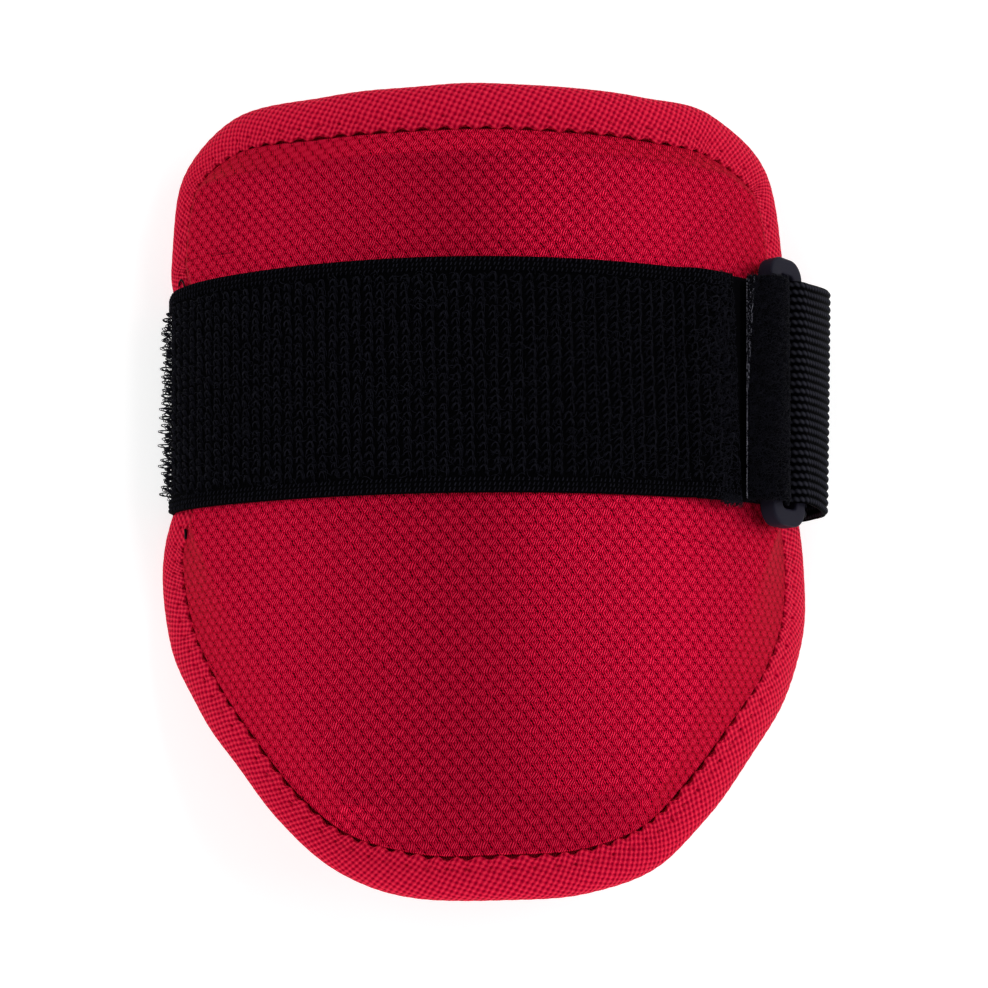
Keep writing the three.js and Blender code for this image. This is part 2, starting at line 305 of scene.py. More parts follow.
# Warp-knit polyester mesh: cells of slanting yarns, leaning left and right by turns like a chequer,
# with a slit in each cell that leans left. Its colour follows its relief: painted shade darkens the
# slits and the valleys between strokes, and a painted pale pink highlight lies on the stroke crests,
# so the eye sees short bright strokes between dark flecks. Dyed filaments give a broad red gleam.
def airMesh():
    material, tree, shader = newMaterial("polyester air mesh", {
        "Roughness": 0.36, "Metallic": 0.35, "Specular IOR Level": 0.01, "Specular Tint": linear("#d80f36"),
    })
    place, ways = pulledWeave(tree, *knit["pull"])
    x = worked("MULTIPLY", ways[0], 1 / knit["cellAcross"])
    y = worked("MULTIPLY", ways[1], 0.5 / knit["cellUp"])
    strip = worked("FLOOR", x)
    across = worked("FRACT", x)
    odd = worked("FLOORED_MODULO", strip, 2.0)
    phase = worked("MULTIPLY_ADD", odd, 0.5, y)
    saw = worked("FRACT", phase)
    fold = worked("MULTIPLY_ADD", saw, 2.0, -1.0)
    zigzag = worked("ABSOLUTE", fold)
    other = worked("SUBTRACT", 1.0, zigzag)
    lean = worked("MULTIPLY_ADD", zigzag, -knit["lean"], across)
    turns = worked("MULTIPLY", lean, 2 * pi * knit["strokes"])
    wave = worked("COSINE", turns)
    ridge = worked("MULTIPLY_ADD", wave, 0.5, 0.5)
    # a yarn is highest halfway between its turns, and the strokes that lean right lie on top
    hump = worked("MULTIPLY", zigzag, other)
    change = knit["change"]
    rightward = ranged(fold, (-change, change))
    top = ranged(rightward, (0, 1), (knit["under"], 1))
    rise = ranged(hump, (0, knit["full"]), (knit["ends"], 1))
    swell = worked("MULTIPLY", rise, top)
    stroke = worked("MULTIPLY", ridge, swell)
    # the slit runs along one valley between yarns, only near the middle of its cell, under one strand
    aside = worked("SUBTRACT", lean, 0.5 / knit["strokes"])
    beside = worked("ABSOLUTE", aside)
    narrow = ranged(beside, knit["slit"], (1, 0), interpolation_type="SMOOTHSTEP")
    short = ranged(hump, knit["slitEnds"], interpolation_type="SMOOTHSTEP")
    bridge = ranged(hump, knit["strand"], (1, knit["left"]))
    parted = worked("MULTIPLY", short, bridge)
    leftward = worked("SUBTRACT", 1.0, rightward)
    within = worked("MULTIPLY", parted, leftward)
    slit = worked("MULTIPLY", narrow, within)
    solid = worked("SUBTRACT", 1.0, slit)
    fibres = addNode(tree, "TexNoise", {0: place, "Scale": 1 / knit["fibre"], "Detail": 2.0})
    rough = worked("MULTIPLY_ADD", fibres.outputs[0], knit["hair"], knit["least"])
    body = worked("MULTIPLY_ADD", stroke, knit["body"], rough)
    relief = worked("MULTIPLY", body, solid)
    # the ramp paints shade into the slits and between strokes, and a pale highlight on the stroke crests
    colourBy(tree, shader, relief, ((0.05, "#40010b"), (0.3, "#5c0110"), (0.78, "#d20c35"), (1.0, "#ea2a4e")))
    raiseBy(tree, shader, relief, knit["relief"])
    return material


twill = {
    "repeat": 6.5, "beads": 5, "ribs": 2,  # the weave repeats after so many beads and ribs of its length
    "beadsAcross": 0.45, "ribsAcross": 0.87,  # and has so many to a millimetre of its width
    "pull": (0.5, 1.0, 0.5),  # waves in a millimetre of the uneven pull, its detail and strength
    "beadShare": 0.6, "ribShare": 0.4, "hair": 0.2,  # of beads, ribs and fibres in the relief
    "fibre": 0.25, "relief": 0.28,
}


# Twill tape of filament polyester: plump floats side by side in slanting ribs, so the eye sees pale
# beads with darker gaps; its colour follows its relief, with painted shade in the gaps and a painted
# pale highlight on the beads. Its map has the length first, then the width.
def twillTape():
    material, tree, shader = newMaterial("red twill tape", {
        "Roughness": 0.5, "Metallic": 0.1, "Specular IOR Level": 0.04, "Specular Tint": linear("#e83858"),
    })
    place, ways = pulledWeave(tree, *twill["pull"])

    def slantingWave(count, sideways):
        lengthTurn = 2 * pi * count / twill["repeat"]
        widthTurn = 2 * pi * sideways
        along = worked("MULTIPLY", ways[0], lengthTurn)
        both = worked("MULTIPLY_ADD", ways[1], widthTurn, along)
        wave = worked("COSINE", both)
        return worked("MULTIPLY_ADD", wave, 0.5, 0.5)

    beads = slantingWave(-twill["beads"], twill["beadsAcross"])
    ribs = slantingWave(twill["ribs"], twill["ribsAcross"])
    ribPart = worked("MULTIPLY", ribs, twill["ribShare"])
    plump = worked("MULTIPLY_ADD", beads, twill["beadShare"], ribPart)
    fibres = addNode(tree, "TexNoise", {0: place, "Scale": 1 / twill["fibre"], "Detail": 2.0})
    relief = worked("MULTIPLY_ADD", fibres.outputs[0], twill["hair"], plump)
    # painted shade in the gaps between floats, and a painted pale highlight on the bead crests
    colourBy(tree, shader, relief, ((0.15, "#8c0022"), (0.5, "#c60932"), (1.0, "#ea2a48")))
    raiseBy(tree, shader, relief, twill["relief"])
    return material


yarnLook = {"darkAt": 0.3, "paleAt": 0.75, "relief": (0.08, 0.5)}  # depth and strength


# Dyed filament yarn or fibre: mottled between two near shades by its grain, so the eye sees
# soft gleams on rounded strands and nothing sharper.
def dyedYarn(name, dark, pale, grain, roughness, gleam):
    material, tree, shader = newMaterial(name, {"Roughness": roughness, "Specular IOR Level": gleam})
    place = addNode(tree, "TexCoord").outputs["Object"]
    noise = addNode(tree, "TexNoise", {0: place, "Scale": 1 / (grain * mm), "Detail": 2.0}).outputs[0]
    colourBy(tree, shader, noise, ((yarnLook["darkAt"], dark), (yarnLook["paleAt"], pale)))
    raiseBy(tree, shader, noise, *yarnLook["relief"])
    return material


webbing = {
    "half": 0.65, "sunk": 0.15,  # half its thickness, and how far its faces lie inside that
    "ribs": 29, "ribSteps": 6, "deep": 0.62,  # ropes across it, points across each, and their depth
    "blunt": 0.7, "middle": 0.6,  # power that rounds a rope, and the height taken as its middle
    "twist": 1.1, "slant": 0.4, "strand": 0.06,  # strands: one a length, how they lean, and their height
    # the darkening between strands is painted shade
    "shade": 0.25,  # how much darker it is between strands
    "bar": 26.5, "barReach": 2.5, "open": 0.4,  # where it rounds the ring's bar, and how it opens there
    "fan": 0.07, "spread": 0.05,  # its turn and its widening where it rounds the right rim
    "shown": (20, 58), "fade": (1, 2),  # the length that shows, and how strands fade at its ends
    "coarse": 1.0, "fine": 0.2, "hiddenRows": 26,  # steps before and in it, and rows after it
    "edge": (0.3, 0.4),  # how far its edges fall, and over what width
}


# Nylon webbing: each rib is a row of slanting strands, painted a grey highlight where they round
# over and painted black shade between ropes and between strands.
def ribbedWebbing():
    material, tree, shader = newMaterial("woven nylon webbing", {
        "Roughness": 0.5, "Specular IOR Level": 0.004,
    })
    ways = addNode(tree, "SeparateXYZ", {0: addNode(tree, "UVMap", uv_map="weave")}).outputs
    halfTurns = pi * webbing["ribs"]
    ribTurn = worked("MULTIPLY_ADD", ways[1], halfTurns / strap["width"], halfTurns / 2)
    ribWave = worked("SINE", ribTurn)
    rib = worked("ABSOLUTE", ribWave)
    along = worked("MULTIPLY", ways[0], 2 * pi / webbing["twist"])
    slant = worked("MULTIPLY_ADD", ways[1], 2 * pi * webbing["slant"], along)
    strandWave = worked("COSINE", slant)
    strand = worked("MULTIPLY_ADD", strandWave, webbing["shade"], 1 - webbing["shade"])
    crest = worked("MULTIPLY", rib, strand)
    # painted black shade between ropes and strands, and a painted grey highlight where strands round over
    colourBy(tree, shader, crest, ((0.35, "#010102"), (1.0, "#2b2b33")))
    return material


nylonLook = {"grain": 0.35, "satin": (0.36, 0.5), "relief": (0.05, 0.25)}


# Moulded nylon: satin skin with a very fine spark-eroded grain.
def mouldedNylon():
    material, tree, shader = newMaterial("moulded nylon", {
        "Base Color": linear("#1d1c27"), "IOR": 1.53, "Specular IOR Level": 0.03,
    })
    place = addNode(tree, "TexCoord").outputs["Object"]
    scale = 1 / (nylonLook["grain"] * mm)
    grain = addNode(tree, "TexNoise", {0: place, "Scale": scale, "Detail": 3.0}).outputs[0]
    spread = ranged(grain, (0, 1), nylonLook["satin"])
    tree.links.new(spread.outputs[0], shader.inputs["Roughness"])
    raiseBy(tree, shader, grain, *nylonLook["relief"])
    return material


redMesh = airMesh()
redTape = twillTape()
# yarns: darker and paler shade, grain in millimetres, roughness and gleam
redThread = dyedYarn("red sewing thread", "#7d0820", "#a00d2c", 0.5, 0.6, 0.05)
blackThread = dyedYarn("black sewing thread", "#08070a", "#141318", 0.5, 0.5, 0.05)
elasticBase = dyedYarn("knitted elastic ground", "#020203", "#050507", 0.6, 0.8, 0.01)
elasticLoops = dyedYarn("nylon loop pile", "#0d0d12", "#1c1c25", 0.8, 0.5, 0.03)
brushedTape = dyedYarn("brushed nylon tape", "#040406", "#08080b", 0.5, 0.8, 0.01)
brushedFibre = dyedYarn("brushed nylon fibre", "#09090e", "#17171f", 1.5, 0.55, 0.04)
cutFibre = dyedYarn("frayed cut fibre", "#34343e", "#9a9aa8", 0.4, 0.6, 0.05)
webbingYarn = ribbedWebbing()
ringNylon = mouldedNylon()
print("materials made")

# The rim of the guard, laid flat, from the top middle down to the bottom middle: right and left of
# the centre line, up, and a slope width that only eases the spacing of the curve.
rimRows = np.array([
    (0, 0, 87.2, 8), (17.3, 17.3, 86.9, 7.5), (35.6, 35.6, 86.6, 7), (55.2, 59.2, 85.4, 6),
    (74.6, 75.6, 75, 5), (80.1, 80.4, 53.8, 5), (78.9, 78.7, 32.7, 5), (78.6, 78, 15.6, 5),
    (81, 79.8, 0, 5), (84.5, 84.1, -16.8, 5.5), (82.2, 80.2, -33.7, 6.5), (73, 70.2, -48.2, 8),
    (61, 59.2, -60, 8), (48.3, 47.9, -72, 7.5), (34.3, 33.8, -82.8, 8), (17.5, 17.4, -87.9, 10.5),
    (0, 0, -88.6, 11),
])


# Columns round the rim, clockwise from the top middle: their places, the way in from each, and the
# length of the whole rim. Under the strap the left rim is pressed in.
def rimColumns(count):
    right = rimRows[:, [0, 2, 3]]
    left = rimRows[-2:0:-1, [1, 2, 3]] * (-1, 1, 1)
    points, length = smoothThrough(np.concatenate([right, left]), count, closed=True)
    up = points[:, 1]
    under = smoothStep(*strap["nipLow"], up) * smoothStep(*strap["nipHigh"], up) * (points[:, 0] < 0)
    points[:, 0] += strap["nip"] * under
    step = np.roll(points, -1, axis=0) - np.roll(points, 1, axis=0)
    return points[:, :2], rightOf(step), length


# Slow uneven waves round a loop, as hand guided sewing leaves: a few sines of whole turns.
def handWaves(turn, size, seed, counts):
    rng = np.random.default_rng(seed)
    waves = sum(rng.normal() * np.sin(n * turn + rng.uniform(0, 2 * pi)) for n in counts)
    return size * (waves / len(counts) ** 0.5)


# how far in the tape reaches on the front, by the share of the way round the rim
tapeReach = np.array([
    (0, 10.9), (0.05, 10.9), (0.1, 11.2), (0.13, 10.6), (0.16, 9.6), (0.2, 9.4), (0.26, 10.2),
    (0.31, 11.4), (0.35, 10.8), (0.4, 10.2), (0.45, 9.1), (0.5, 9.0), (0.55, 8.6), (0.58, 7.6),
    (0.62, 8.2), (0.66, 9.9), (0.69, 10.5), (0.71, 9.8), (0.73, 7.6), (0.78, 7.2), (0.82, 7.2),
    (0.85, 7.5), (0.88, 8.3), (0.92, 9.9), (0.96, 10.6),
])
tapeEase = np.linspace(-0.015, 0.015, 7)  # shares of the way round over which it is averaged


def tapeLeg(turn):
    share = turn[:, None] / (2 * pi) + tapeEase
    return np.interp(share, *tapeReach.T, period=1).mean(axis=1)


# The padded shell

pad = {
    "columns": 480, "slopeRows": 48,
    "crown": (0.03, 0.97, 24), "behind": (0.95, 0.05, 16),  # shares of the way out, and rows
    "front": 6.5, "back": -3.2,  # heights of the two faces
    "lip": 3.0, "pinch": 1.9, "tuck": 0.55,  # foot of the slope, where the seam pulls it to, over what width
    "ridge": 0.13,  # how soft the creases round the raised front are
    "side": 4.0, "beyond": 3.0,  # least width of the slope, and how far its rows go on inside it
    "closing": 0.3,  # least closing speed on a crease, where the rim runs along it
    "crowd": 1.5,  # power by which the slope's rows crowd towards the binding
    "pucker": 0.16, "puckerFade": 1.6, "puckerStart": 0.8,  # the cover puckers between stitches
}
# straight creases round the raised front: the way out across each, and its distance from the middle
creases = [((0, 1), 69.8), ((0, -1), 68.0), ((0.85, -0.527), 62.2), ((-0.85, -0.527), 62.2)]
# the cover under the binding, round the rim and out on the back: distance in from the rim, and height
hemRows = [(7, 1.9), (4.5, 1.9), (2.5, 1.8), (1.6, 1.1), (1.3, 0), (1.6, -1.1), (2.5, -1.8),
           (5, -1.9), (9.4, -1.9), (10.4, -2.5), (11.8, -3.0), (13.4, -3.2)]


# Rings from the middle of the front to the rim and back in behind. The front's height falls off
# as the softened ramp: front minus k ln(1 + e^(ramp / k)), with the ramp linear across the slope.
# The slope reaches from the binding in to the first point that is inside every crease.
def makePad():
    columns = pad["columns"]
    rim, inward, length = rimColumns(columns)
    turn = np.arange(columns) / columns * 2 * pi
    leg = tapeLeg(turn)
    edge = rim + inward * leg[:, None]
    slope = np.full(columns, pad["side"])
    for way, limit in creases:
        closing = np.maximum(-inward @ np.array(way), pad["closing"])
        slope = np.maximum(slope, (edge @ np.array(way) - limit) / closing)
    rows = []

    def addRow(inset, height, reach=1.0):
        flat = (rim + inward * np.reshape(inset, (-1, 1))) * reach
        rows.append(np.stack([flat[:, 0], flat[:, 1], np.broadcast_to(height, columns)], axis=1))

    wide = slope.max() + pad["beyond"]
    gather = np.sin(turn * round(length / stitchLength)) * pad["pucker"]
    for reach in np.linspace(*pad["crown"]):
        addRow(leg + wide, pad["front"], reach)
    for share in np.linspace(1, 0, pad["slopeRows"]) ** pad["crowd"]:
        d = wide * share
        ramp = (pad["front"] - pad["lip"]) * (1 - d / slope)
        drop = pad["ridge"] * np.logaddexp(0, ramp / pad["ridge"])
        tuck = (pad["lip"] - pad["pinch"]) * (1 - smoothStep(0, pad["tuck"], d))
        pucker = gather * np.exp(-d / pad["puckerFade"]) * smoothStep(0, pad["puckerStart"], d)
        addRow(leg + d, pad["front"] - drop - tuck + pucker)
    for inset, height in hemRows:
        addRow(inset, height)
    for reach in np.linspace(*pad["behind"]):
        addRow(hemRows[-1][0], pad["back"], reach)
    grid = np.array(rows)
    count = len(grid) * columns
    points = np.concatenate([grid.reshape(-1, 3), [[0, 0, pad["front"]], [0, 0, pad["back"]]]])
    quads = gridFaces(len(grid), columns, closeColumns=True)[0]
    first = np.arange(columns)
    after = np.roll(first, -1)
    last = count - columns
    fans = np.concatenate([
        np.stack([np.full_like(first, count), after, first], axis=1),
        np.stack([np.full_like(first, count + 1), last + first, last + after], axis=1),
    ])
    piece = makePiece("pad_cover", onGuard(*points.T), [quads, fans], redMesh, "pad",
                      points[:, :2])


makePad()

# The binding: tape folded over the rim and sewn through

binding = {
    "leg": 9.4, "acrossRows": 92, "steps": 7,  # reach of the fold below; rows, and columns to a stitch
    "rib": 0.08, "ribFade": (0.2, 1.0),  # height of the weave's ribs, which fade at the edges
    "seam": 2.6, "seamDepth": 0.12, "seamWide": 0.55, "hole": 0.6, "holeWide": 0.4,
    "scallop": 0.5, "scallopFade": 1.2,  # the edge is drawn in at each stitch
    # uneven height and edge: size, seed, and turns of the waves
    "swell": (0.12, 5, (9, 14, 22, 31)), "wander": (0.15, 9, (5, 11, 17, 26)),
}
# the outside of the fold from the front edge to the back edge, as distance in from the rim and height
foldRows = [(9.4, 2.75), (9.1, 3.15), (8, 3.3), (5.5, 3.45), (3, 3.2), (0.95, 2.2), (0, 0),
            (0.95, -2.2), (3, -3.2), (6, -3.2), (9.1, -3.15), (9.4, -2.75)]
# and its inside, back again
innerRows = [(9.2, -2.25), (6, -2.2), (3, -2.2), (1.6, -1.4), (1, 0), (1.6, 1.4), (3, 2.2), (6, 2.2),
             (9.2, 2.25)]


# The section is carried round the rim, its front leg as wide as the tape reaches there. Its outside is
# raised by slanting ribs, the cosine of the way round plus the way across, and lowered along the two
# seams and at every needle hole. Its edges are scalloped by the cosine of the way round in stitches.
def makeBinding():
    stitches = round(rimColumns(pad["columns"])[2] / stitchLength)
    columns = stitches * binding["steps"]
    rim, inward, length = rimColumns(columns)
    turn = np.arange(columns) / columns * 2 * pi
    widen = tapeLeg(turn) / binding["leg"]
    outside, width = smoothThrough(foldRows, binding["acrossRows"])
    across = np.linspace(0, width, binding["acrossRows"] + 1)
    normal = rightOf(np.gradient(outside, axis=0))
    edge = np.minimum(across, width - across)[:, None]
    repeats = round(length / twill["repeat"])
    ribTurn = twill["ribs"] * repeats * turn + 2 * pi * twill["ribsAcross"] * across[:, None]
    lift = binding["rib"] * np.cos(ribTurn) * smoothStep(*binding["ribFade"], edge)
    fromHole = (np.abs((turn * stitches / (2 * pi)) % 1 - 0.5) - 0.5) * length / stitches
    fromSeam = edge - binding["seam"]
    lift = lift - binding["seamDepth"] * np.exp(-(fromSeam / binding["seamWide"]) ** 2)
    lift = lift - binding["hole"] * np.exp(-(fromSeam ** 2 + fromHole ** 2) / binding["holeWide"] ** 2)
    lift = lift + handWaves(turn, *binding["swell"])
    scallop = handWaves(turn, *binding["wander"]) - binding["scallop"] * np.cos(stitches * turn)
    inset = outside[:, :1] * np.where(outside[:, 1:] > 0, widen, 1) + normal[:, :1] * lift
    inset = inset + scallop * np.exp(-edge / binding["scallopFade"])
    height = outside[:, 1:] + normal[:, 1:] * lift
    inner = np.array(innerRows)
    inset = np.concatenate([inset, inner[:, :1] * np.where(inner[:, 1:] > 0, widen, 1)])
    height = np.concatenate([height, np.broadcast_to(inner[:, 1:], (len(inner), columns))])
    flat = rim + inward * inset[:, :, None]
    points = onGuard(flat[:, :, 0], flat[:, :, 1], height)
    faces, cells = gridFaces(len(inset), columns, closeRows=True, closeColumns=True)
    lengths = np.linspace(0, repeats * twill["repeat"], columns + 1)
    widths = np.concatenate([across, np.linspace(width, 0, len(inner) + 1)])
    weave = np.stack(np.meshgrid(lengths, widths), axis=-1)
    piece = makePiece("binding_tape", points, [faces], redTape, "binding", weave, [cells])
    return stitches, rim, inward


seam = {
    "shown": (0.06, 0.94, 8),  # shares of a stitch between which its thread shows, and points
    "aside": 0.1, "low": 2.75, "arch": 0.34, "blunt": 0.6,
    "radius": 0.14, "sides": 6,
}


# One arch of thread from needle hole to needle hole, on the front and on the back: a power of the sine.
def makeSeamThread(stitches, rim, inward):
    t = np.linspace(*seam["shown"])[None, :]
    share = (np.arange(stitches)[:, None] + t) / stitches
    passed = share * len(rim)
    rimAlong, rimUp, wayAlong, wayUp = (
        np.interp(passed, np.arange(len(rim)), column, period=len(rim)) for column in (*rim.T, *inward.T)
    )
    seamIn = np.full(share.shape, binding["leg"] - binding["seam"] + seam["aside"])
    widen = tapeLeg(share.ravel() * 2 * pi).reshape(share.shape) / binding["leg"]
    arch = seam["low"] + seam["arch"] * np.sin(pi * t) ** seam["blunt"]
    paths = []
    for inset, height in ((seamIn * widen, arch), (seamIn, -arch)):
        paths.append(onGuard(rimAlong + inset * wayAlong, rimUp + inset * wayUp, height))
    makeStrands("binding_thread", np.concatenate(paths), seam, redThread)


makeSeamThread(*makeBinding())

# Straps: the middle line of each, along the bend and off it

strapRows = [(-52, -4.4), (-62, -4.4), (-72.4, -4.4), (-76.3, -4.7), (-78.3, -4.4), (-79.8, -2.3),
             (-79.3, 1), (-77.5, 3.5), (-74.5, 5.3), (-69.2, 6.8), (-62, 7.7), (-45, 7.7), (-20, 7.7),
             (5, 7.7), (34, 7.7), (39, 8), (43, 9.4), (52, 9.4)]
tabRows = [(54.6, 10.0), (56.0, 11.7), (57.3, 13.1), (59, 14.2), (61, 14.4), (63, 13.4), (63.4, 11),
           (63.2, 8.8), (62, 7.6), (60, 7.5), (57, 7.6), (50, 7.6), (43.5, 7.6)]
webbingRows = [(82.9, 2.2), (81.9, 4.6), (79, 6.4), (73, 6.9), (68, 7.15), (66, 7.8), (65.35, 10.2),
               (65.5, 13), (67.2, 14.2), (69.8, 14), (74.1, 13.3), (80.2, 11.4), (83.1, 8.5), (84.8, 5),
               (84.7, 1.2), (82.7, -2), (80.4, -4.6), (75, -4.2), (65, -4.2), (54, -4.2)]


# A strap's middle line as a function: the place at a length along it, a way across it and a lift off it.
# A turned strap's upper edge runs ahead of its lower edge. Where a strap rounds the right rim it may fan
# out, which is more of that turn, and spread wider. Round the left rim its top edge may be drawn in.
def strapLine(rows, turn=0.0, drawnIn=0.0, fan=0.0, spread=0.0):
    line, length = smoothThrough(rows, strap["lineSteps"])
    at = np.linspace(0, length, len(line))
    normal = -rightOf(np.gradient(line, axis=0))

    def place(run, across, lift):
        along, height, sideways, upwards = (
            np.interp(run, at, column) for column in (*line.T, *normal.T)
        )
        outer = smoothStep(*strap["rightRim"], along)
        twist = (turn + fan * outer) * np.clip(height / strap["turnHeight"], 0, 1) * across
        narrow = drawnIn * smoothStep(*strap["leftRim"], along) * (across / strap["width"] + 0.5)
        up = strap["up"] + strap["slant"] * along + across * (1 + spread * outer) - narrow
        return onGuard(along + sideways * lift + twist, up, height + upwards * lift)

    def whereAlong(run):
        return np.interp(run, at, line[:, 0])

    return place, length, whereAlong


# A band: an outer and an inner grid over length and width, joined along the edges and ends.
def makeBand(name, place, run, across, outer, inner, material, node):
    run, across = run[:, None], across[None, :]
    rows, columns = run.shape[0], across.shape[1]
    points = np.concatenate([place(run, across, lift).reshape(-1, 3) for lift in (outer, inner)])
    weave = np.stack(np.broadcast_arrays(run, across), axis=-1).reshape(-1, 2)
    front = gridFaces(rows, columns)[0]
    number = np.arange(rows * columns).reshape(rows, columns)
    rim = np.concatenate([number[0, :-1], number[:-1, -1], number[-1, :0:-1], number[:0:-1, 0]])
    after = np.roll(rim, -1)
    sides = np.stack([after, rim, rim + rows * columns, after + rows * columns], axis=1)
    faces = np.concatenate([front, front[:, ::-1] + rows * columns, sides])
    return makePiece(name, points, [faces], material, node, np.concatenate([weave, weave]))


halfWide = strap["width"] / 2


# Soft edges: how far a strap's face is lowered close to its edges.
def edgeFall(across, deep, soft):
    return deep * np.exp(-(halfWide - np.abs(across)) / soft)


fibre = {"curl": 1.3, "points": 6, "sizes": (0.5, 1.3), "rises": (0.4, 1)}


# Fibres lying every way on a strap, each a small arc whose ends dip into the cloth.
def fibrePaths(place, rng, start, level, long, low, rise, reach):
    count = len(start)
    heading = rng.uniform(0, 2 * pi, count)[:, None]
    curl = rng.normal(0, fibre["curl"], count)[:, None]
    t = np.linspace(-0.5, 0.5, fibre["points"])[None, :]
    way = heading + curl * t
    size = long * rng.uniform(*fibre["sizes"], count)[:, None]
    along = np.clip(start[:, None] + size * t * np.cos(way), *reach)
    over = level[:, None] + size * t * np.sin(way)
    return place(along, over, low + rise * rng.uniform(*fibre["rises"], count)[:, None] * np.cos(pi * t))


# The elastic strap

elastic = {
    "rows": 300, "columns": 90, "even": 0.65,  # share of even spacing, the rest crowds to the edges
    "ground": 0.15, "under": -0.8, "drawnIn": 2.0,
    "weft": 0.04, "weftLength": 1.2,  # low ridges across it
    "selvedge": 3.2, "raised": 0.4, "raisedOver": 0.8,  # its firm edges stand higher
    "cord": 0.14, "cordWidth": 1.0,  # and are corded
    "edge": (0.5, 0.35), "edgeUnder": (0.3, 0.35),  # how far its edges fall, and over what width
    "seed": 21,
}


# The knitted ground: a thin band with corded selvedges, cosines across it and along it.
def makeGround(place, length):
    run = np.linspace(0, length, elastic["rows"])
    crowded = halfWide * np.sin(np.linspace(-pi / 2, pi / 2, elastic["columns"]))
    evenly = np.linspace(-halfWide, halfWide, elastic["columns"])
    across = crowded * (1 - elastic["even"]) + evenly * elastic["even"]
    inner = halfWide - elastic["selvedge"]
    inEdge = smoothStep(inner, inner + elastic["raisedOver"], np.abs(across))[None, :]
    cords = elastic["cord"] * np.cos(2 * pi * across / elastic["cordWidth"])[None, :] * inEdge
    weft = elastic["weft"] * np.cos(2 * pi * run / elastic["weftLength"])[:, None]
    top = elastic["ground"] + elastic["raised"] * inEdge + cords + weft
    top = top - edgeFall(across, *elastic["edge"])
    bottom = np.full_like(top, elastic["under"]) + edgeFall(across, *elastic["edgeUnder"])
    return makeBand("strap_ground", place, run, across, top, bottom, elasticBase, "strap")


pile = {
    "along": 2.45, "across": 1.65, "strands": 3, "radius": 0.13, "sides": 3, "points": 6,
    "rise": 0.85, "sink": 0.15, "blunt": 0.6,  # height, how deep it starts, and power of its arch
    "lean": 0.6, "back": 0.25, "slip": 0.5,  # how a loop leans along the strap and lies across it
    "stand": 2.5, "ring": 0.6, "standing": (-73, -79),  # loops that stand up: height, half width, and where
    "loose": (13, 3), "looser": 2.5, "looseRise": 0.2,  # untidy from so far to so far off the cut end
    "ownDrift": 0.5, "drift": (0.05, 0.08),  # a strand's own share, and drift along and across
    # width, reach across and height as shares: the mean, and what the strand and chance add
    "wide": (0.27, 0.07, 0.025), "tall": (1, 0.1, 0.08), "high": (1, -0.14, 0.12), "limits": (0.5, 1.5),
    "start": 0.2, "past": 0.4,  # how near the ends of the strap a loop may come
}


# Rows of leaning loops of a few strands. Each strand is half a turn: minus the cosine along the strap,
# the sine across it, and a power of the sine off it. Where the strap rounds the left rim the loops
# stand up, as half rings across it.
def makeLoops(place, length, whereAlong, rng):
    columns = int(length / pile["along"])
    rows = int((strap["width"] - 2 * elastic["selvedge"]) / pile["across"])
    i, j, ply = (a.ravel() for a in np.meshgrid(
        np.arange(columns), np.arange(rows), np.arange(pile["strands"]) - 1, indexing="ij"))
    far, near = pile["loose"]
    loose = smoothStep(length - far, length - near, i * pile["along"])
    stand = smoothStep(*pile["standing"], whereAlong((i + 0.5) * pile["along"]))[:, None]
    drift = np.repeat(rng.normal(size=(5, columns * rows)), pile["strands"], axis=1)
    drift = drift * (1 + pile["looser"] * loose) + pile["ownDrift"] * rng.normal(size=drift.shape)
    middle = (i + 0.5 + pile["drift"][0] * drift[0]) * pile["along"]
    level = (j - (rows - 1) / 2 + pile["drift"][1] * drift[1]) * pile["across"]

    def uneven(shares, chance):
        return (shares[0] + shares[1] * ply + shares[2] * chance)[:, None]

    t = np.linspace(0, 1, pile["points"])[None, :]
    turn = pi * t
    wide = pile["along"] * uneven(pile["wide"], drift[2])
    tall = pile["across"] * uneven(pile["tall"], drift[3])
    share = uneven(pile["high"], drift[4]) + pile["looseRise"] * loose[:, None]
    rise = np.clip(share, *pile["limits"]) * (pile["rise"] + (pile["stand"] - pile["rise"]) * stand)
    lie = 1 - stand
    along = middle[:, None] + lie * wide * (pile["lean"] * np.sin(turn) - np.cos(turn))
    over = level[:, None] + lie * tall * (np.sin(turn) - pile["back"] - pile["slip"] * t)
    over = over - stand * pile["ring"] * np.cos(turn)
    off = elastic["ground"] - pile["sink"] + rise * np.sin(turn).clip(0) ** pile["blunt"]
    paths = place(np.clip(along, pile["start"], length + pile["past"]), over, off)
    return makeStrands("strap_loops", paths, pile, elasticLoops)


selvedge = {
    "first": 0.6, "last": 0.5, "tick": 0.95, "rows": 3, "inset": 0.75, "apart": 1.0,
    "slant": (0.35, 0.8), "drift": 0.1, "low": 0.42, "arch": 0.26,  # slant along and across
    "radius": 0.15, "points": 4, "sides": 4,
}


# Rows of small slanting stitches along both edges, each arched as a cosine.
def makeSelvedges(place, length, rng):
    at, row, side = (a.ravel()[:, None] for a in np.meshgrid(
        np.arange(selvedge["first"], length - selvedge["last"], selvedge["tick"]),
        np.arange(selvedge["rows"]), np.array([-1, 1]), indexing="ij"))
    t = np.linspace(-0.5, 0.5, selvedge["points"])[None, :]
    over = side * (halfWide - selvedge["inset"] - selvedge["apart"] * row) + selvedge["slant"][1] * t
    along = at + selvedge["slant"][0] * t + selvedge["drift"] * rng.normal(size=at.shape)
    paths = place(along, over, selvedge["low"] + selvedge["arch"] * np.cos(pi * t))
    return makeStrands("strap_selvedge", paths, selvedge, elasticLoops)


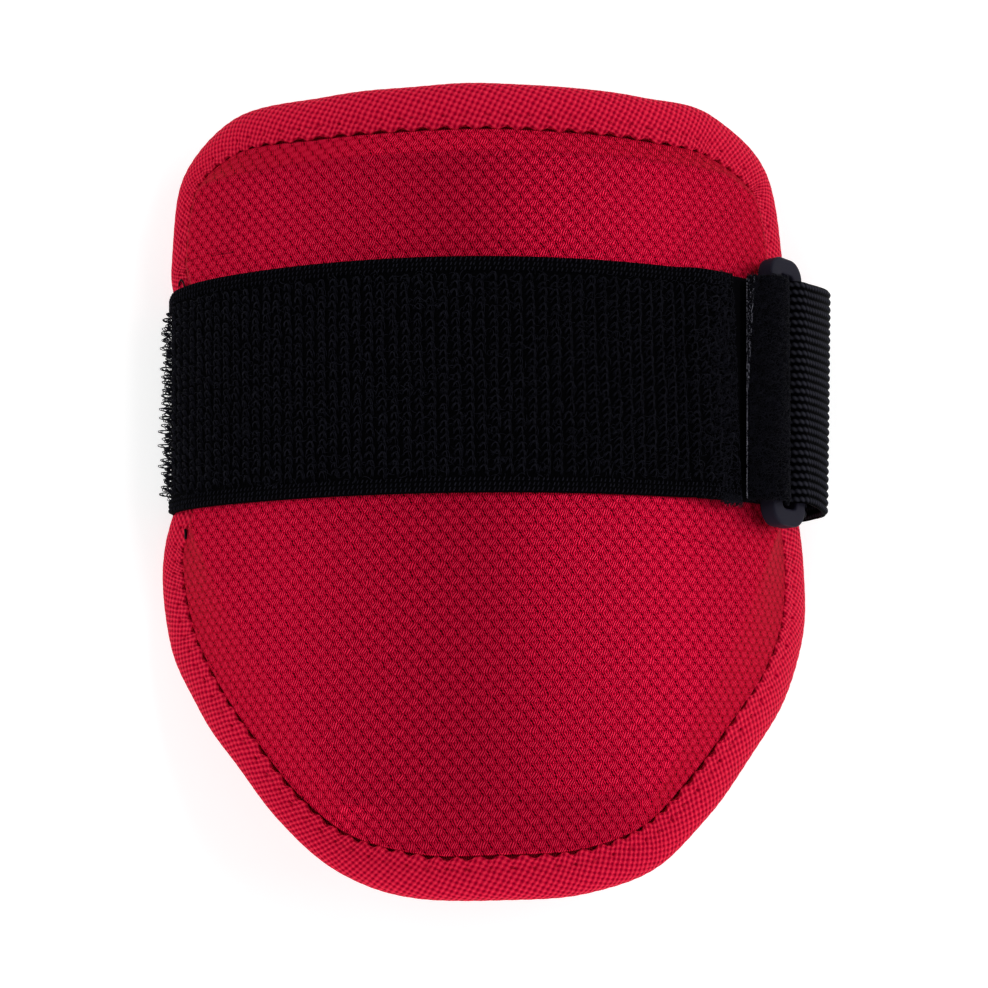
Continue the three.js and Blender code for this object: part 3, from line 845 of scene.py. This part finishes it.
fuzz = {
    "count": 1000, "reach": 4,  # at the cut end
    "corner": 0.14, "cornerOut": (-0.8, 0.9), "cornerReach": 5,  # share of those at its lower corner
    "wisps": 160, "wispsAt": (36, 4),  # a few where the strap has rounded the rim
    "lint": 2600, "lintEnds": (36, 2),  # and thinly all over, where loops have been plucked
    "margin": 3, "fibre": (1.9, 0.35, 0.75),  # a fibre's length, least height and rise
    "past": 1.0, "radius": 0.07, "sides": 3,
}


# Loose brushed fibres.
def makeFuzz(place, length, rng):
    start = length - np.abs(rng.normal(0, fuzz["reach"], fuzz["count"]))
    level = rng.uniform(-halfWide, halfWide, fuzz["count"])
    corner = rng.random(fuzz["count"]) < fuzz["corner"]
    level[corner] = -halfWide - rng.uniform(*fuzz["cornerOut"], corner.sum())
    start[corner] = length - rng.uniform(0, fuzz["cornerReach"], corner.sum())
    first, last = fuzz["lintEnds"]
    side = halfWide - fuzz["margin"]
    wispStart = rng.normal(*fuzz["wispsAt"], fuzz["wisps"])
    lintStart = rng.uniform(first, length - last, fuzz["lint"])
    wispLevel = rng.uniform(-side, side, fuzz["wisps"])
    lintLevel = rng.uniform(-side, side, fuzz["lint"])
    start = np.concatenate([start, wispStart, lintStart])
    level = np.concatenate([level, wispLevel, lintLevel])
    reach = (0, length + fuzz["past"])
    paths = fibrePaths(place, rng, start, level, *fuzz["fibre"], reach)
    return makeStrands("strap_fuzz", paths, fuzz, elasticLoops)


sewing = {  # along, up and height of the strap's thread where it shows
    "slack": [(-75.0, 48.7, 3.6), (-74.6, 49.5, 3.75), (-73.9, 50.0, 3.85), (-73.0, 49.1, 3.9),
              (-72.0, 46.9, 4.3)],
    "tack": [(-72.9, -7.3, 3.35), (-72.75, -9.6, 3.3)],
    "radius": (0.2, 0.3), "steps": 24, "sides": 8,
}


# Black sewing thread that shows on the tape: a slack loop above the strap, a tack below it.
def makeStrapThread():
    slack = smoothThrough(sewing["slack"], sewing["steps"])[0]
    tack = np.linspace(*np.array(sewing["tack"]), len(slack))
    paths = np.stack([onGuard(*slack.T), onGuard(*tack.T)])
    return makeStrands("strap_thread", paths, sewing, blackThread)


def makeElastic():
    place, length, whereAlong = strapLine(strapRows, drawnIn=elastic["drawnIn"])
    rng = np.random.default_rng(elastic["seed"])
    ground = makeGround(place, length)
    loops = makeLoops(place, length, whereAlong, rng)
    edges = makeSelvedges(place, length, rng)
    loose = makeFuzz(place, length, rng)
    thread = makeStrapThread()


makeElastic()

# The fastening tab

tab = {
    "grid": (90, 110), "top": 0.3, "half": 0.7, "edge": (0.45, 0.4),
    "fibres": 4800, "felt": (0.3, 15), "feltReach": (-0.1, 17),  # the length of tape that is brushed
    "fibre": (2.2, 0.22, 0.5), "radius": 0.065, "sides": 3, "seed": 4,
}
cutEnd = {
    "tips": 620, "margin": 0.2, "long": (0.1, 0.5), "points": 3, "radius": 0.06, "sides": 4,
    "scatter": (-0.9, 1.3),  # cut off at 0 and 1, so over half the tips are on a rim
    "parting": ((-4, 26), (0.15, 1.65)),  # between these places up it the two rims part so far
    "low": 0.32, "thick": 0.3, "uneven": 0.06, "out": 0.12, "forward": 0.3, "raised": 0.4,
}


# Brushed tape: a smooth band under a felt of short curled fibres lying every way.
def makeTab():
    place, length, _ = strapLine(tabRows, ring["turn"])
    run = np.linspace(0, length, tab["grid"][0])
    across = np.linspace(-halfWide, halfWide, tab["grid"][1])
    fall = np.broadcast_to(edgeFall(across, *tab["edge"]), tab["grid"])
    ground = makeBand("tab_tape", place, run, across, tab["top"] - fall, fall - tab["half"],
                      brushedTape, "hook_tab")

    rng = np.random.default_rng(tab["seed"])
    start = rng.uniform(*tab["felt"], tab["fibres"])
    level = rng.uniform(-halfWide, halfWide, tab["fibres"])
    paths = fibrePaths(place, rng, start, level, *tab["fibre"], tab["feltReach"])
    fibres = makeStrands("tab_fibres", paths, tab, brushedFibre)
    frayed = makeCutEnd(place, rng)


# The tab's cut end: cropped tips along its two rims, and strays between, catch the light as pale specks.
def makeCutEnd(place, rng):
    side = halfWide - cutEnd["margin"]
    level = rng.uniform(-side, side, cutEnd["tips"])[:, None]
    rim = np.clip(rng.uniform(*cutEnd["scatter"], level.shape), 0, 1)
    back = rim * np.interp(level, *cutEnd["parting"])
    off = cutEnd["low"] + cutEnd["thick"] * rim + rng.normal(0, cutEnd["uneven"], level.shape)
    t = np.linspace(0, 1, cutEnd["points"])[None, :]
    size = rng.uniform(*cutEnd["long"], level.shape)
    lean = rng.normal(0, 1, (2, cutEnd["tips"], 1))
    along = back + cutEnd["out"] - cutEnd["forward"] * size * t
    paths = place(along, level + size * lean[0] * t, off + cutEnd["raised"] * size * lean[1] * t)
    return makeStrands("tab_frayed_end", paths, cutEnd, cutFibre)


makeTab()


# Ribbed webbing: ropes side by side along the strap. The face is a power of the absolute sine across,
# as touching ropes give, with slanting strands as a second cosine of the way along and across. Over
# the ring's bar the ropes open and the strands stand out as dots.
def makeWebbing():
    place, length, _ = strapLine(webbingRows, ring["turn"], fan=webbing["fan"], spread=webbing["spread"])
    first, last = webbing["shown"]
    run = np.concatenate([
        np.arange(0, first, webbing["coarse"]), np.arange(first, last, webbing["fine"]),
        np.linspace(last, length, webbing["hiddenRows"]),
    ])
    across = np.linspace(-halfWide, halfWide, webbing["ribs"] * webbing["ribSteps"] + 1)
    ropeTurn = pi * webbing["ribs"] * (across + halfWide) / strap["width"]
    rope = np.abs(np.sin(ropeTurn))[None, :] ** webbing["blunt"]
    slant = np.cos(2 * pi * (run[:, None] / webbing["twist"] + webbing["slant"] * across))
    begin, end = webbing["fade"]
    shown = smoothStep(first - begin, first + begin, run) * (1 - smoothStep(last - end, last, run))
    opened = np.exp(-((run - webbing["bar"]) / webbing["barReach"]) ** 2)[:, None]
    ropes = webbing["deep"] * (rope - webbing["middle"]) * (1 - webbing["open"] * opened)
    face = ropes + webbing["strand"] * (1 + opened) * slant * rope * shown[:, None]
    top = webbing["half"] - webbing["sunk"] + face - edgeFall(across, *webbing["edge"])
    piece = makeBand("webbing_band", place, run, across, top, -top,
                     webbingYarn, "ring_webbing")


makeWebbing()


# A rounded rectangle as one closed line: four quarter turns, with the straights between them.
def roundedOutline(width, length, corner):
    quarter = np.linspace(0, pi / 2, ring["arcSteps"])
    centres = np.array([(1, 1), (-1, 1), (-1, -1), (1, -1)]) * (width / 2 - corner, length / 2 - corner)
    turn = quarter[None, :] + np.arange(4)[:, None] * pi / 2
    points = centres[:, None, :] + corner * np.stack([np.cos(turn), np.sin(turn)], axis=-1)
    return points.reshape(-1, 2)


# The ring: between the outer and the slot outline runs a rounded square section, where each of the
# cosine and sine is raised to a power under one, so its sides are flat and its edges round.
def makeRing():
    outer = roundedOutline(ring["width"], ring["length"], ring["corner"])
    slot = roundedOutline(ring["slotWidth"], ring["slotLength"], ring["slotCorner"])
    turn = np.linspace(0, 2 * pi, ring["sectionSteps"], endpoint=False)
    side = np.sign(np.cos(turn)) * np.abs(np.cos(turn)) ** ring["power"]
    level = np.sign(np.sin(turn)) * np.abs(np.sin(turn)) ** ring["power"]
    flat = (outer + slot)[:, None, :] / 2 + (outer - slot)[:, None, :] / 2 * side[:, None]
    rise = np.broadcast_to(level * ring["thickness"] / 2, flat.shape[:2])
    points = np.stack([flat[:, :, 0], flat[:, :, 1], rise], axis=-1)
    points = points @ turned(2, -ring["turn"]).T @ turned(1, ring["tilt"]).T
    centre = onGuard(ring["along"], ringUp, ring["height"])
    faces = gridFaces(len(outer), len(turn), closeRows=True, closeColumns=True)[0]
    makePiece("ring_moulding", points * mm + centre, [faces], ringNylon, "ring")


makeRing()

# Floor, light and camera

# a pale table that glows, so that it comes out white; its reach is in metres
stage = {"floor": "#cccccc", "roughness": 0.8, "glow": "#ffffff", "shine": 0.6, "reach": 4.0, "sky": 0.24}
floorMesh = bpy.data.meshes.new("floor")
corners = [(x * stage["reach"], y * stage["reach"], 0) for x, y in ((-1, -1), (1, -1), (1, 1), (-1, 1))]
floorMesh.from_pydata(corners, [], [(0, 1, 2, 3)])
floorPaint = newMaterial("pale floor", {
    "Base Color": linear(stage["floor"]), "Roughness": stage["roughness"],
    "Emission Color": linear(stage["glow"]), "Emission Strength": stage["shine"],
})[0]
floorMesh.materials.append(floorPaint)
floor = bpy.data.objects.new("floor", floorMesh)
bpy.context.scene.collection.objects.link(floor)

# softboxes round the guard, in metres: place (right, up the guard, off the floor), tall, wide; and watts
softboxes = {
    "right softbox": ((0.9, 0.0, 0.25), 0.4, 1.0, 2.85),
    "left softbox": ((-0.9, -0.1, 0.25), 0.4, 1.0, 2.2),
    "right strip": ((0.59, 0.14, 0.79), 0.25, 0.7, 3.15),
    "left strip": ((-0.67, 0.14, 0.73), 0.25, 0.7, 1.6),
    "top softbox": ((0.0, 0.9, 0.25), 0.5, 1.2, 2.8),
    "bottom softbox": ((0.0, -0.9, 0.25), 0.5, 1.6, 6.5),
}
for name, (way, tall, wide, power) in softboxes.items():
    light = bpy.data.lights.new(name, "AREA")
    light.shape = "RECTANGLE"
    light.size, light.size_y, light.energy = wide, tall, power
    lamp = bpy.data.objects.new(name, light)
    lamp.location = way
    lamp.rotation_euler = Vector(way).to_track_quat("Z", "Y").to_euler()
    bpy.context.scene.collection.objects.link(lamp)

world = bpy.data.worlds.new("studio")
world.use_nodes = True
world.node_tree.nodes["Background"].inputs["Color"].default_value = (1, 1, 1, 1)
world.node_tree.nodes["Background"].inputs["Strength"].default_value = stage["sky"]
bpy.context.scene.world = world
bpy.context.scene.view_settings.view_transform = "Standard"

# the camera looks down on the crown of the guard, a little from its lower end
view = {
    "away": 420.0, "pitch": 0.1429, "yaw": 0.0591, "roll": 0.0208,
    "crownPixel": (492.71, 476.65), "frame": 988,  # where the crown lies in the frame, in pixels
    "pixel": 0.2134,  # millimetres to a pixel at the crown
    "sensor": 36.0, "near": 10.0,
}
axes = turned(2, view["roll"]) @ turned(0, -view["pitch"]) @ turned(1, view["yaw"])
camera = bpy.data.cameras.new("camera")
camera.sensor_width = view["sensor"]
camera.lens = view["sensor"] * view["away"] / view["pixel"] / view["frame"]
camera.shift_x = (view["frame"] / 2 - view["crownPixel"][0]) / view["frame"]
camera.shift_y = (view["crownPixel"][1] - view["frame"] / 2) / view["frame"]
camera.clip_start = view["near"] * mm
eye = bpy.data.objects.new("camera", camera)
spot = (axes[2] * view["away"] + guardShift + (0, 0, bend["top"])) * mm
eye.matrix_world = Matrix.Translation(spot) @ Matrix(axes.T.tolist()).to_4x4()
bpy.context.scene.collection.objects.link(eye)
bpy.context.scene.camera = eye
print("floor, light and camera set")
